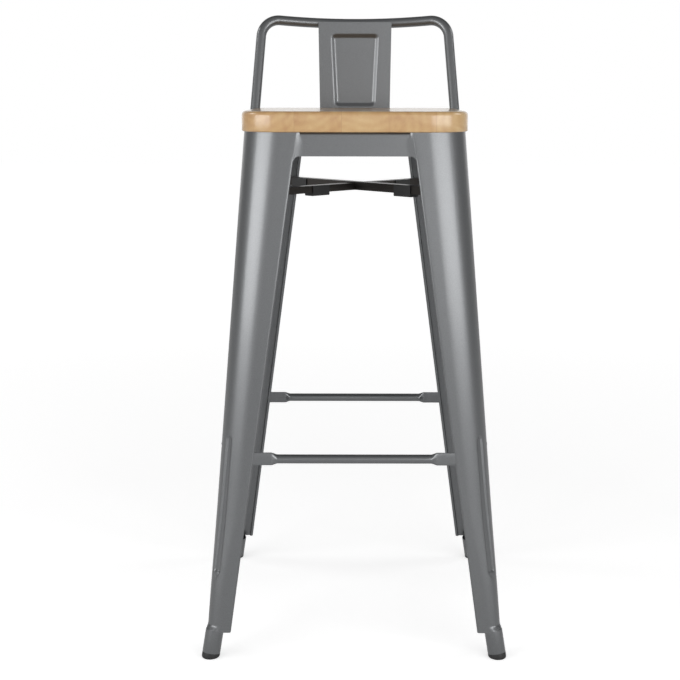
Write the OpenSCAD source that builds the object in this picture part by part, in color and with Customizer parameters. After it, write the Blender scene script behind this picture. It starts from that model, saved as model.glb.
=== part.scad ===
// Bar stool: pressed steel legs and frame, low tube hoop back, timber seat pad.
// The origin is the centre of the four feet on the floor. +Z is up, the hoop back
// stands at +Y and the sitter faces -Y. All sizes are in millimetres.

/* [Overall] */
// Height of the seat pad's top above the floor
seat_height = 760; // [720:5:800]
// Width across the outer faces of the legs, carried down to the floor
foot_width = 421; // [400:1:440]
// Width across the outer faces of the legs at their tops
top_width = 307; // [300:1:310]

/* [Seat pad] */
// Width and depth of the timber pad
pad_width = 313; // [311:1:322]
// Thickness of the timber pad
pad_thickness = 28; // [24:1:36]
// Radius of the pad's corners, seen from above
pad_corner = 55; // [40:1:65]
// Radius of the rounded edge along the pad's top
pad_top_round = 4; // [2:0.5:6]
// Radius of the rounded edge along the pad's underside
pad_low_round = 2; // [1:0.5:4]
// Clearance of the notches in the pad round the hoop's tubes
notch_gap = 1; // [0.5:0.5:3]
// Radius of the notches' corners
notch_round = 5; // [3:0.5:7]

/* [Seat pan] */
// Thickness of the pan's sheet
pan_sheet = 1.5; // [1:0.25:2]
// Height of the pan's skirt
skirt_height = 32; // [24:1:40]
// Radius of the bend between the pan's top and its skirt
pan_bend = 4; // [3:0.5:6]
// Radius of the pan's corners, seen from above
pan_corner = 55; // [52:1:60]
// Distance of the pad's screws from the middle, along X and along Y
screw_reach = 95; // [60:5:105]
// Diameter of the screws' shanks
screw_dia = 4; // [3:0.5:5]
// Length of the screws under their heads
screw_length = 20; // [14:1:22]
// Diameter of the screws' heads
screw_head = 8; // [7:0.5:11]
// Height of the screws' heads
head_height = 2.4; // [1.5:0.1:3.5]

/* [Legs] */
// Thickness of the leg's sheet
leg_sheet = 1.5; // [1.2:0.1:2]
// Width of each leg face at the top of the leg
face_top = 75.6; // [70:0.2:82]
// Width of each leg face, carried down to the floor
face_foot = 31.7; // [31:0.1:36]
// Radius of the leg's outer corner at the top of the leg
corner_top = 54; // [46:1:56]
// Radius of the leg's outer corner, carried down to the floor
corner_foot = 28.5; // [20:0.5:28.5]
// Diameter of the rolled edge along each leg face
hem_dia = 5; // [4:0.5:6]

/* [Corner groove] */
// Height of the rounded top of the groove above the floor
groove_top = 316; // [280:2:360]
// Height of the groove's scooped lower end above the floor
groove_low = 121; // [100:1:160]
// Width of the groove pressed into the leg's corner
groove_width = 11; // [8:0.5:13]
// Depth of the groove
groove_depth = 3; // [1.5:0.25:4]
// Length over which the groove's lower end rises to the surface
groove_scoop = 12; // [8:1:20]
// Length of the pointed dent below the groove
groove_tip = 11; // [7:1:14]

/* [Foot sockets and caps] */
// Height at which the leg's faces end and only the round socket goes on
relief_height = 40; // [34:1:46]
// Outer diameter of the round socket rolled from the leg's sheet
socket_dia = 25.4; // [24:0.2:27]
// Distance by which the socket stands proud of the leg's outer faces
socket_proud = 2; // [1:0.2:4]
// Outward splay of the socket in the front view and in the side view
socket_splay = 9; // [7:0.1:11]
// Length of the swage that blends the socket into the leg's corner
swage_length = 18; // [10:1:24]
// Diameter of the drain hole through the socket's inner side
drain_dia = 4; // [3:0.5:6]
// Height of the socket's lower end above the floor, on its axis
cap_height = 8; // [6:0.5:13]
// Length of the cap's stem inside the socket
stem_length = 18; // [12:1:24]
// Radial clearance between the stem and the socket's bore
stem_gap = 0.2; // [0.1:0.05:0.4]

/* [Footrests] */
// Height of the footrests' centre line above the floor
rest_height = 285; // [240:1:330]
// Diameter of the footrest tube
rest_dia = 12.7; // [11:0.1:15]
// Height of the footrest's flattened ends
tab_height = 18; // [15:0.5:22]
// Thickness of the footrest's flattened ends
tab_thick = 3.4; // [2.5:0.1:5]
// Length of the footrest's flattened ends
tab_length = 24; // [16:1:32]
// Length over which the tube opens out of its flattened end
tab_blend = 12; // [8:1:16]
// Distance of the flattened ends behind the leg's outer face
tab_inset = 0.6; // [0:0.1:1.5]

/* [Cross brace] */
// Distance of the brace's upper face below the seat's top
brace_drop = 104; // [90:0.5:160]
// Height of the folded brace bars
bar_height = 12; // [9:0.5:14]
// Thickness of the brace bars' sheet
bar_sheet = 1.8; // [1.4:0.1:2.5]
// Width of the brace bars between the legs
bar_width = 14; // [12:0.5:18]
// Width of the brace bars where they meet the legs
bar_flare = 30; // [22:1:36]
// Length over which a brace bar widens towards the leg
flare_length = 40; // [30:1:55]
// Clearance of the notch where the upper bar straddles the lower one
lap_gap = 1; // [0.5:0.25:2]

/* [Brace pads] */
// Length of the clip-on pads along the brace
clip_length = 32; // [24:1:38]
// Wall of the clip-on pads beside the brace bar
clip_wall = 1.6; // [1.2:0.1:2.5]
// Thickness of the clip-on pads below the brace bar
clip_sole = 4.5; // [3:0.5:7]
// Distance of the front-left pad from the middle of the brace
clip_front_left = 76; // [70:1:110]
// Distance of the rear-right pad from the middle of the brace
clip_rear_right = 95; // [70:1:110]
// Distance of the front-right pad from the middle of the brace
clip_front_right = 103; // [70:1:110]
// Distance of the rear-left pad from the middle of the brace
clip_rear_left = 112; // [70:1:118]

/* [Hoop back] */
// Diameter of the hoop's tube
hoop_dia = 15; // [13:0.1:16]
// Height of the hoop's upper corners above the seat's top, as if they were sharp
back_rise = 143.5; // [120:0.5:170]
// Distance of the hoop's tubes in front of the rear legs' outer faces, at the seat's top
hoop_inset = 37.5; // [36:0.5:44]
// Backward lean of the hoop
hoop_lean = 15; // [12:0.5:16]
// Radius of the bends between the hoop's tubes and its rail, on the centre line
hoop_bend = 30; // [22:1:36]
// Angle through which each half of the rail curves backward
rail_turn = 16.5; // [8:0.5:18]
// Thickness of the hoop's lower ends, which are pressed flat
press_thick = 4; // [3:0.1:5]
// Width of the hoop's flattened ends
press_width = 21; // [18:0.5:22]
// Length over which a tube goes from round to flat, behind the pad's edge
press_blend = 24; // [16:1:28]
// Distance from the seat's top down to the middle of the hoop's lower ends
foot_drop = 68; // [56:1:74]
// Gap between the hoop's flattened ends and the legs, filled by the weld
hoop_gap = 0.3; // [0.1:0.1:0.8]

/* [Splat] */
// Width of the splat at its top
splat_top = 114; // [100:1:124]
// Width of the splat at its lower end
splat_bottom = 108; // [95:1:125]
// Thickness of the splat's sheet
splat_sheet = 1.5; // [1.2:0.1:2.5]
// Distance of the splat's top edge below the hoop's top
splat_drop = 12; // [9:0.5:14]
// Depth of the panel pressed into the splat
panel_depth = 4; // [2:0.25:6]
// Width of the pressed panel at its top
panel_top = 77; // [60:1:84]
// Width of the pressed panel at its lower end
panel_low = 66; // [50:1:76]
// Width of the sloped border round the pressed panel
panel_border = 5; // [3:0.25:6]
// Distance of the pressed panel's top below the splat's top edge
panel_drop = 17; // [14:1:30]
// Distance of the pressed panel's lower end below the seat's top
panel_sink = 3; // [-10:1:10]
// Radius of the pressed panel's corners
panel_corner = 7; // [4:0.5:12]
// Height of the splat's foot that lies on the pan's skirt
splat_foot = 14; // [10:1:18]
// Clearance between the splat and the pad's rear edge
splat_gap = 0.4; // [0.3:0.1:2]

/* [Hidden] */
$fn = 48;

steel = "#7f8182";
timber = "#d9b287";
black = "#222222";

// Gap left between welded faces, so that they lie against each other without overlap
seat_gap = 0.1;
// Length by which a cutting shape runs past what it cuts
past = 1;
// Thickness of the slices that a blend is drawn between
thin = 0.01;

leg_top = seat_height - pad_thickness - seat_gap;
face_slope = (foot_width - top_width) / 2 / leg_top;
face_tilt = atan(face_slope);

function mix(a, b, t) = a + (b - a) * t;

// Half of the width across the legs' outer faces at height z
function half_width(z) = mix(foot_width, top_width, z / leg_top) / 2;
// Distance from the middle plane to the rolled edge of a leg face at height z
function edge_at(z) = half_width(z) - mix(face_foot, face_top, z / leg_top);
// Radius of the leg's outer corner at height z
function corner_at(z) = mix(corner_foot, corner_top, z / leg_top);
// Distance of the corner's centre from both middle planes at height z
function centre_at(z) = half_width(z) - corner_at(z);

// ---------------------------------------------------------------- leg

hem_r = hem_dia / 2;
// Height by which the rolled edge stands out of the leg's face
hem_proud = 0.15;
groove_half = groove_width / 2;
// Depth of the groove where its pointed dent begins
tip_depth = 1.2;
// Depth under the corner's outer line at which the sheet behind the groove begins
back_skin = 1.2;
// Length by which a leg's faces and corner are drawn past its ends, before they are cut
run_out = 15;
// The corner's sheet stands proud of the faces by this much, and runs on under them by
// this angle; the faces run on under the corner by this length
corner_proud = 0.03;
corner_over = 3;
face_over = 0.6;

// The corner of a leg is a cone that touches both of its faces. Its apex lies on the
// line where the faces would meet, and its axis leans in towards the seat.
apex_z = -corner_foot * leg_top / (corner_top - corner_foot);
apex = half_width(apex_z);
axis_slope = (centre_at(0) - centre_at(leg_top)) / leg_top;
cone_lean = atan(axis_slope * sqrt(2));
cone_sine = (axis_slope - face_slope) / sqrt(1 + 2 * axis_slope ^ 2) * cos(face_tilt);
cone_half = asin(cone_sine);
cone_arc = acos((sin(face_tilt) ^ 2 - cone_sine ^ 2) / (1 - cone_sine ^ 2));
tangent_slope = axis_slope / cos(face_tilt) / (1 + axis_slope * face_slope);

// Length from the apex to height z, up a face, up the cone's axis and up its outer line
function up_face(z) = (z - apex_z) / cos(face_tilt);
function up_axis(z) = (z - apex_z) / cos(cone_lean);
function up_corner(z) = (z - apex_z) / cos(cone_lean - cone_half);

relief_low = relief_height - run_out;
relief_high = leg_top + run_out;

// Frame of the face that looks along +Y: X along the face, +Z up it, +Y out of it
module on_face() {
    translate([apex, apex, apex_z]) rotate([face_tilt, 0, 0]) children();
}

// Frame of the cone's axis, with +Z up it and X towards the outer corner
module on_cone() {
    translate([apex, apex, apex_z]) rotate(a = cone_lean, v = [1, -1, 0]) rotate(45) children();
}

// Frame of the corner's outer line, with +Z up it and +X out of the corner
module on_corner() {
    on_cone() rotate([0, cone_half, 0]) children();
}

function hem_x(z) = edge_at(z) + hem_r - apex;

module face_plate() {
    low = up_face(relief_low);
    high = up_face(relief_high);
    run = atan((hem_x(relief_high) - hem_x(relief_low)) / (high - low));
    on_face() {
        rotate([90, 0, 0]) linear_extrude(leg_sheet)
            polygon([[hem_x(relief_low), low], [face_over - tangent_slope * low, low],
                [face_over - tangent_slope * high, high], [hem_x(relief_high), high]]);
        translate([hem_x(relief_low), hem_proud - hem_r, low]) rotate([0, run, 0])
            cylinder(r = hem_r, h = (high - low) / cos(run));
    }
}

module corner_cone() {
    low = up_axis(relief_low - run_out);
    high = up_axis(relief_high + run_out);
    wall = leg_sheet / cos(cone_half);
    arc = cone_arc + 2 * corner_over;
    on_cone() rotate(-arc / 2) rotate_extrude(angle = arc)
        polygon([for (p = [[low, wall], [low, 0], [high, 0], [high, wall]])
            [p[0] * tan(cone_half) + corner_proud - p[1], p[0]]]);
}

// Slot outline with a round top and a pointed foot, spread all round by extra
module groove_outline(extra) {
    top = up_corner(groove_top) - groove_half;
    low = up_corner(groove_low);
    half = groove_half + extra;
    translate([0, top]) circle(r = half);
    polygon([[-half, top], [-half, low], [0, low - groove_tip - 2 * extra], [half, low], [half, top]]);
}

// The pressed groove's room, from its floor out to outer: extra widens and deepens it
// for the sheet behind it
module groove_room(extra, outer) {
    low = up_corner(groove_low);
    high = up_corner(groove_top) + groove_width;
    reach = 2 * groove_width;
    on_corner() intersection() {
        rotate([90, 0, 90]) translate([0, 0, -reach]) linear_extrude(2 * reach)
            groove_outline(extra);
        rotate([90, 0, 0]) translate([0, 0, -reach]) linear_extrude(2 * reach)
            polygon([[outer, low - 2 * groove_tip], [-extra, low - groove_tip],
                [-tip_depth - extra, low], [-groove_depth - extra, low + groove_scoop],
                [-groove_depth - extra, high], [outer, high]]);
    }
}

// The socket's centre lies on the leg's diagonal; this is its distance from each plane
socket_r = socket_dia / 2;
socket_slope = tan(socket_splay);
socket_lean = atan(socket_slope * sqrt(2));
socket_at_relief = half_width(relief_height) + socket_proud - socket_r;
function socket_at(z) = socket_at_relief + (relief_height - z) * socket_slope;

rim_length = (relief_height + 2 - cap_height) / cos(socket_lean);

// Sets children on the socket's axis, with +Z up along it and z = 0 at its lower end
module on_socket_axis() {
    at = socket_at(cap_height);
    translate([at, at, cap_height]) rotate(a = socket_lean, v = [1, -1, 0]) children();
}

// Round socket with the swage over it, which is open towards the inside of the leg
module socket() {
    narrow = socket_r / 2;
    swage_top = rim_length + swage_length;
    on_socket_axis() difference() {
        rotate_extrude() polygon([[socket_r - leg_sheet, 0], [socket_r, 0], [socket_r, rim_length],
            [narrow, swage_top], [narrow - leg_sheet, swage_top], [socket_r - leg_sheet, rim_length]]);
        rotate(45) translate([-2 * socket_r, -2 * socket_r, rim_length])
            cube([2 * socket_r + 2, 4 * socket_r, swage_length + past]);
    }
}

module leg() {
    color(steel) difference() {
        union() {
            intersection() {
                union() {
                    corner_cone();
                    face_plate();
                    mirror([1, -1, 0]) face_plate();
                    groove_room(leg_sheet, -back_skin);
                }
                translate([0, 0, relief_height])
                    cube([foot_width, foot_width, leg_top - relief_height]);
            }
            socket();
        }
        groove_room(0, groove_width);
        on_socket_axis() translate([0, 0, -past])
            cylinder(r = socket_r - leg_sheet, h = rim_length + past);
        on_socket_axis() rotate(45) translate([-socket_r / 2, 0, rim_length - 2 * drain_dia])
            rotate([0, -90, 0]) cylinder(d = drain_dia, h = socket_r);
    }
}

module leg_rear_right() { leg(); }
module leg_rear_left() { mirror([1, 0, 0]) leg(); }
module leg_front_right() { mirror([0, 1, 0]) leg(); }
module leg_front_left() { rotate(180) leg(); }

// ---------------------------------------------------------------- foot caps

module foot_cap() {
    color(black) intersection() {
        on_socket_axis() union() {
            translate([0, 0, -2 * cap_height]) cylinder(r = socket_r, h = 2 * cap_height - seat_gap);
            translate([0, 0, -past])
                cylinder(r = socket_r - leg_sheet - stem_gap, h = stem_length + past);
        }
        cylinder(r = foot_width, h = seat_height);
    }
}

module foot_cap_rear_right() { foot_cap(); }
module foot_cap_rear_left() { mirror([1, 0, 0]) foot_cap(); }
module foot_cap_front_right() { mirror([0, 1, 0]) foot_cap(); }
module foot_cap_front_left() { rotate(180) foot_cap(); }

// ---------------------------------------------------------------- hoop back

hoop_r = hoop_dia / 2;
hoop_back = half_width(seat_height) - hoop_inset;
tube_lean = atan(face_slope * cos(hoop_lean));
tube_x = half_width(seat_height) + (press_thick / 2 + hoop_gap) / cos(face_tilt);
rail_z = (back_rise - hoop_r) / cos(hoop_lean);
knee = [tube_x - rail_z * tan(tube_lean), 0, rail_z];
rail_way = [cos(rail_turn), -sin(rail_turn), 0];
tube_way = [sin(tube_lean), 0, -cos(tube_lean)];
bend_angle = acos(rail_way * tube_way);
bend_reach = hoop_bend * tan(bend_angle / 2);
rail_radius = (knee[0] - bend_reach * cos(rail_turn)) / sin(rail_turn);
rail_back = bend_reach * sin(rail_turn) + rail_radius * (1 - cos(rail_turn));
tube_start = knee + bend_reach * tube_way;
tube_sides = 24;
rail_steps = 4;
bend_steps = 9;
press_steps = 3;
// Power that shapes a flattened end's section: 1 is an oval, 0 a box
press_crown = 0.3;
tube_length = (tube_start[2] + foot_drop / cos(hoop_lean)) / cos(tube_lean);

// Frame of the hoop's leaning plane: X across, Y out of its back, +Z up it,
// with z = 0 at the seat's top
module on_hoop() {
    translate([0, hoop_back, seat_height]) rotate([-hoop_lean, 0, 0]) children();
}

// Room of the notch for the hoop's right-hand tube and its flattened end
module hoop_slot() {
    half = press_width / 2 + notch_gap;
    deep = hoop_r + notch_gap;
    translate(tube_start) rotate([0, 180 - tube_lean, 0]) linear_extrude(tube_length) {
        translate([-pad_corner, -half]) square([pad_corner + deep - notch_round, 2 * half]);
        translate([0, notch_round - half]) square([deep, 2 * (half - notch_round)]);
        for (s = [-1, 1]) translate([deep - notch_round, s * (half - notch_round)])
            circle(r = notch_round);
    }
}

// Vector v turned about the unit axis k by angle q
function turned(v, k, q) = v * cos(q) + cross(k, v) * sin(q) + k * (k * v) * (1 - cos(q));

// Ring of radius r about centre, across the directions u and w
function ring(centre, u, w, r) =
    [for (i = [0 : tube_sides - 1]) centre + r * (cos(i * 360 / tube_sides) * u
        + sin(i * 360 / tube_sides) * w)];

// Ring of the hoop's tube about centre, pressed flat by share: phase is the angle of its
// first point
function pressed(centre, phase, share) =
    [for (i = [0 : tube_sides - 1])
        let (q = phase + i * 360 / tube_sides,
             flat_x = press_thick / 2 * sign(cos(q)) * abs(cos(q)) ^ press_crown,
             flat_y = press_width / 2 * sin(q))
        centre + mix(hoop_r * cos(q), flat_x, share) * [cos(tube_lean), 0, sin(tube_lean)]
            - [0, mix(hoop_r * sin(q), flat_y, share), 0]];

// Rings of the hoop's right-hand half, from the middle of its rail to its flattened foot
function hoop_half() =
    let (inward = tube_way - (rail_way * tube_way) * rail_way,
         side = inward / norm(inward),
         axis = cross(rail_way, side),
         centre = knee - bend_reach * rail_way + hoop_bend * side,
         up = [0, 0, 1],
         out = cross(rail_way, up),
         end_up = turned(up, axis, bend_angle),
         phase = atan2(-end_up[1], end_up * [cos(tube_lean), 0, sin(tube_lean)]),
         flat_from = tube_length - foot_drop / cos(hoop_lean) + pad_thickness - press_blend)
    concat(
        [for (i = [0 : rail_steps - 1])
            let (q = rail_turn * i / rail_steps, away = [sin(q), cos(q), 0])
            ring([0, rail_back - rail_radius, rail_z] + rail_radius * away, up, -away, hoop_r)],
        [for (i = [0 : bend_steps])
            let (q = bend_angle * i / bend_steps)
            ring(centre + hoop_bend * turned(-side, axis, q), turned(up, axis, q),
                turned(out, axis, q), hoop_r)],
        [for (i = [0 : press_steps])
            pressed(tube_start + (flat_from + press_blend * i / press_steps) * tube_way, phase,
                (1 - cos(180 * i / press_steps)) / 2)],
        [pressed(tube_start + tube_length * tube_way, phase, 1)]);

function mirrored(points) = [for (p = points) [-p[0], p[1], p[2]]];

// Solid skinned over closed rings that have the same number of points
module skin(rings) {
    n = len(rings[0]);
    last = len(rings) - 1;
    sides = [for (k = [0 : last - 1], i = [0 : n - 1])
        [k * n + i, k * n + (i + 1) % n, (k + 1) * n + (i + 1) % n, (k + 1) * n + i]];
    polyhedron(points = [for (r = rings) each r],
        faces = concat(sides, [[for (i = [n - 1 : -1 : 0]) i], [for (i = [0 : n - 1]) last * n + i]]));
}

module backrest_hoop() {
    half = hoop_half();
    last = len(half) - 1;
    color(steel) on_hoop()
        skin(concat([for (i = [last : -1 : 1]) mirrored(half[i])], half));
}

// ---------------------------------------------------------------- seat pad

pad_low = seat_height - pad_thickness;
// Radial clearance of the screws in the pad, and in the pan's holes
screw_gap = 0.1;
pan_hole_gap = 0.4;

// Half profile of the pad's rim: x runs outward from the corner's centre, y up
module pad_rim() {
    square([pad_corner - pad_top_round, pad_thickness]);
    translate([0, pad_low_round])
        square([pad_corner, pad_thickness - pad_low_round - pad_top_round]);
    square([pad_corner - pad_low_round, pad_thickness - pad_top_round]);
    translate([pad_corner - pad_top_round, pad_thickness - pad_top_round]) circle(r = pad_top_round);
    translate([pad_corner - pad_low_round, pad_low_round]) circle(r = pad_low_round);
}

module pad_blank() {
    reach = pad_width / 2 - pad_corner;
    for (i = [0 : 3]) rotate(90 * i) translate([reach, reach, 0]) {
        rotate_extrude(angle = 90) pad_rim();
        rotate([90, 0, 0]) linear_extrude(2 * reach) pad_rim();
    }
    translate([-reach, -reach, 0]) cube([2 * reach, 2 * reach, pad_thickness]);
}

module at_screws() {
    for (x = [-1, 1], y = [-1, 1]) translate([x * screw_reach, y * screw_reach, pad_low])
        children();
}

module seat_pad() {
    color(timber) difference() {
        translate([0, 0, pad_low]) pad_blank();
        on_hoop() for (side = [0, 1]) mirror([side, 0, 0]) hoop_slot();
        at_screws() translate([0, 0, -past])
            cylinder(r = screw_dia / 2 + screw_gap, h = screw_length + past);
    }
}

module pad_screws() {
    under = -seat_gap * 2 - pan_sheet;
    color("#a9abad") at_screws() translate([0, 0, under]) {
        translate([0, 0, -head_height]) cylinder(d = screw_head, h = head_height);
        translate([0, 0, -past]) cylinder(d = screw_dia, h = screw_length + past);
    }
}

// ---------------------------------------------------------------- seat pan

pan_top = leg_top;
pan_half = half_width(pan_top) - leg_sheet - seat_gap;
pan_low = pan_top - skirt_height;

// Half profile of the pan's sheet: x runs outward from the corner's centre, y up
module pan_rim() {
    steps = 5;
    bend = [for (i = [0 : steps]) i * (90 - face_tilt) / steps];
    heel = pan_corner + face_slope * pan_bend;
    outer = [for (q = bend) [heel - pan_bend + pan_bend * sin(q), -pan_bend + pan_bend * cos(q)]];
    inner_r = pan_bend - pan_sheet;
    inner = [for (q = bend) [heel - pan_bend + inner_r * sin(q), -pan_bend + inner_r * cos(q)]];
    foot = pan_corner + face_slope * skirt_height;
    polygon(concat([[0, 0]], outer, [[foot, -skirt_height], [foot - pan_sheet, -skirt_height]],
        [for (i = [steps : -1 : 0]) inner[i]], [[0, -pan_sheet]]));
}

module seat_pan() {
    reach = pan_half - pan_corner;
    color(steel) difference() {
        translate([0, 0, pan_top]) {
            for (i = [0 : 3]) rotate(90 * i) translate([reach, reach, 0]) {
                rotate_extrude(angle = 90) pan_rim();
                rotate([90, 0, 0]) linear_extrude(2 * reach) pan_rim();
            }
            translate([-reach, -reach, -pan_sheet]) cube([2 * reach, 2 * reach, pan_sheet]);
        }
        at_screws() cylinder(r = screw_dia / 2 + pan_hole_gap, h = 4 * pan_sheet, center = true);
    }
}

// ---------------------------------------------------------------- splat

// Height of the splat's lower end above the skirt's lower edge
foot_rise = 3;
splat_high = seat_height + back_rise - splat_drop;
splat_x = splat_top / 2;
// Front of the rail beside the splat's edges, behind the middle of the seat
rail_front = hoop_back + (splat_high - hoop_r - seat_height) * tan(hoop_lean)
    + (rail_back - splat_x ^ 2 / (2 * rail_radius) - hoop_r) / cos(hoop_lean);
splat_y_top = rail_front - seat_gap - splat_sheet;
pad_clear = pad_width / 2 + splat_gap;
// Height at which the splat comes nearest to the pad's rear edge
nearest = splat_y_top > pad_clear ? pad_low - past : seat_height;
splat_lean = (splat_y_top - pad_clear) / (splat_high - nearest);
splat_low = pan_low + foot_rise;
splat_heel = splat_low + splat_foot;
function skirt_y(z) = half_width(z) - leg_sheet - seat_gap;

// Front of the splat's sheet, from its foot on the skirt to its top, as [y, z]
splat_line = [[skirt_y(splat_low) + seat_gap, splat_low], [skirt_y(splat_heel) + seat_gap, splat_heel],
    [pad_clear - splat_lean * (nearest - pad_low + past), pad_low - past], [splat_y_top, splat_high]];

// Frame of the splat's upper stretch: X across, Y out of its back, +Z up it, at its top
module on_splat() {
    run = splat_line[3] - splat_line[2];
    translate([0, splat_line[3][0], splat_line[3][1]]) rotate([atan2(-run[0], run[1]), 0, 0])
        children();
}

// Room of the pressed panel, or with extra the sheet round it
module panel_room(extra) {
    long = splat_high - panel_drop - seat_height + panel_sink;
    lead = extra > 0 ? -splat_sheet / 2 : past;
    deep = panel_depth + extra;
    slope = panel_border / panel_depth - extra / deep;
    corner = panel_corner + extra;
    on_splat() hull() for (s = [-1, 1], end = [[panel_top, panel_corner], [panel_low, long - panel_corner]])
        translate([s * (end[0] / 2 - panel_corner), -lead, -panel_drop - end[1]])
            rotate([-90, 0, 0]) cylinder(r1 = corner + slope * lead, r2 = corner - slope * deep,
                h = deep + lead, $fn = 32);
}

module backrest_splat() {
    line = splat_line;
    color(steel) difference() {
        union() {
            intersection() {
                rotate([90, 0, 90]) translate([0, 0, -splat_top]) linear_extrude(2 * splat_top)
                    polygon(concat(line, [for (i = [3 : -1 : 0]) line[i] + [splat_sheet, 0]]));
                rotate([90, 0, 0]) translate([0, 0, -2 * pad_width]) linear_extrude(4 * pad_width)
                    polygon([[-splat_bottom / 2, splat_low], [splat_bottom / 2, splat_low],
                        [splat_x, splat_high], [-splat_x, splat_high]]);
            }
            panel_room(splat_sheet);
        }
        panel_room(0);
    }
}

// ---------------------------------------------------------------- footrests

tab_x = edge_at(rest_height);
tab_y = half_width(rest_height) - (tab_inset + tab_thick / 2) / cos(face_tilt);
hem_slope = (edge_at(0) - edge_at(leg_top)) / leg_top;

// Flattened tube in section: x across the sheet, y along its height
module tab_section() {
    square([tab_thick, tab_height - tab_thick], center = true);
    for (s = [-1, 1]) translate([0, s * (tab_height - tab_thick) / 2]) circle(d = tab_thick);
}

// Footrest between the rear legs; its ends are cut along the legs' rolled edges
module footrest() {
    round_half = tab_x - tab_length - tab_blend;
    color(steel) translate([0, tab_y, rest_height]) rotate([face_tilt, 0, 0]) {
        rotate([0, 90, 0]) cylinder(d = rest_dia, h = 2 * round_half, center = true);
        for (side = [0, 1]) mirror([side, 0, 0]) {
            intersection() {
                translate([tab_x - tab_length, 0, 0]) rotate([90, 0, 90])
                    linear_extrude(tab_length + tab_height) tab_section();
                rotate([90, 0, 0]) translate([0, 0, -rest_dia]) linear_extrude(2 * rest_dia)
                    polygon([[0, -tab_height], [tab_x - seat_gap + hem_slope * tab_height, -tab_height],
                        [tab_x - seat_gap - hem_slope * tab_height, tab_height], [0, tab_height]]);
            }
            hull() {
                translate([round_half - thin, 0, 0]) rotate([0, 90, 0])
                    cylinder(d = rest_dia, h = thin, $fn = 32);
                translate([tab_x - tab_length, 0, 0]) rotate([90, 0, 90])
                    linear_extrude(thin) tab_section($fn = 16);
            }
        }
    }
}

module footrest_rear() { footrest(); }
module footrest_front() { rotate(180) footrest(); }
module footrest_right() { rotate(-90) footrest(); }
module footrest_left() { rotate(90) footrest(); }

// ---------------------------------------------------------------- cross brace

// Height of the brace's upper face above the floor
brace_height = seat_height - brace_drop;
// Clearance between a bar's rounded end and the leg's corner
bar_gap = 0.3;
upper_low = brace_height - bar_height;
lower_high = brace_height - bar_sheet - seat_gap;
brace_centre = centre_at(brace_height) * sqrt(2);
brace_round = corner_at(brace_height) - leg_sheet - bar_gap;

// Plan outline of a brace bar along X, drawn in all round by inset: each end widens
// towards its leg and is rounded to lie in the leg's corner
module bar_outline(inset) {
    steps = 6;
    tip = brace_centre + brace_round;
    neck = bar_width / 2 - inset;
    wide = bar_flare / 2 - inset;
    radius = brace_round - inset;
    spread = asin(wide / radius);
    end = concat([[tip - flare_length, -neck], [tip - flare_length / 3, -wide]],
        [for (i = [0 : steps])
            let (q = spread * (2 * i / steps - 1))
            [brace_centre + radius * cos(q), radius * sin(q)]],
        [[tip - flare_length / 3, wide], [tip - flare_length, neck]]);
    polygon(concat(end, -end));
}

// Folded bar with its open side down, between two heights
module brace_bar(low, high) {
    difference() {
        translate([0, 0, low]) linear_extrude(high - low) bar_outline(0);
        translate([0, 0, low - past]) linear_extrude(high - low - bar_sheet + past)
            bar_outline(bar_sheet);
    }
}

module brace_bar_lower() {
    color(steel) rotate(45) brace_bar(upper_low, lower_high);
}

module brace_bar_upper() {
    gap = bar_width / 2 + lap_gap;
    color(steel) rotate(-45) difference() {
        brace_bar(upper_low, brace_height);
        translate([-gap, -bar_flare, upper_low - past])
            cube([2 * gap, 2 * bar_flare, bar_height - bar_sheet + past]);
    }
}

// Clearance between a clip-on pad and its bar, and the radius of the pad's lower edges
clip_gap = 0.2;
clip_round = 1.5;

// Pad clipped round a brace bar: turn is the bar's direction, reach the pad's distance
// from the middle and high the bar's upper face
module brace_pad(turn, reach, high) {
    half = bar_width / 2 + clip_gap;
    outer = half + clip_wall;
    low = upper_low - clip_sole;
    color(black) rotate(turn) translate([reach - clip_length / 2, 0, 0]) rotate([90, 0, 90])
        linear_extrude(clip_length) difference() {
            union() {
                translate([-outer, low + clip_round])
                    square([2 * outer, high - low - clip_round - clip_gap]);
                translate([-outer + clip_round, low])
                    square([2 * (outer - clip_round), 2 * clip_round]);
                for (s = [-1, 1]) translate([s * (outer - clip_round), low + clip_round])
                    circle(r = clip_round);
            }
            translate([-half, upper_low - clip_gap / 2]) square([2 * half, 2 * bar_height]);
        }
}

module brace_pad_front_left() { brace_pad(225, clip_front_left, lower_high); }
module brace_pad_rear_right() { brace_pad(45, clip_rear_right, lower_high); }
module brace_pad_front_right() { brace_pad(-45, clip_front_right, brace_height); }
module brace_pad_rear_left() { brace_pad(135, clip_rear_left, brace_height); }

seat_pad();
seat_pan();
leg_front_left();
leg_front_right();
leg_rear_left();
leg_rear_right();
footrest_front();
footrest_rear();
footrest_left();
footrest_right();
brace_bar_lower();
brace_bar_upper();
brace_pad_front_left();
brace_pad_front_right();
brace_pad_rear_left();
brace_pad_rear_right();
foot_cap_front_left();
foot_cap_front_right();
foot_cap_rear_left();
foot_cap_rear_right();
backrest_hoop();
backrest_splat();
pad_screws();
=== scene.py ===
"""Looks of a bar stool with pressed steel legs, footrests, a low tube back and a timber pad.

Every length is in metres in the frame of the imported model: +Z up, the back at +Y.
"""

import math

import bmesh
import bpy
from mathutils import Matrix, Vector


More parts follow.
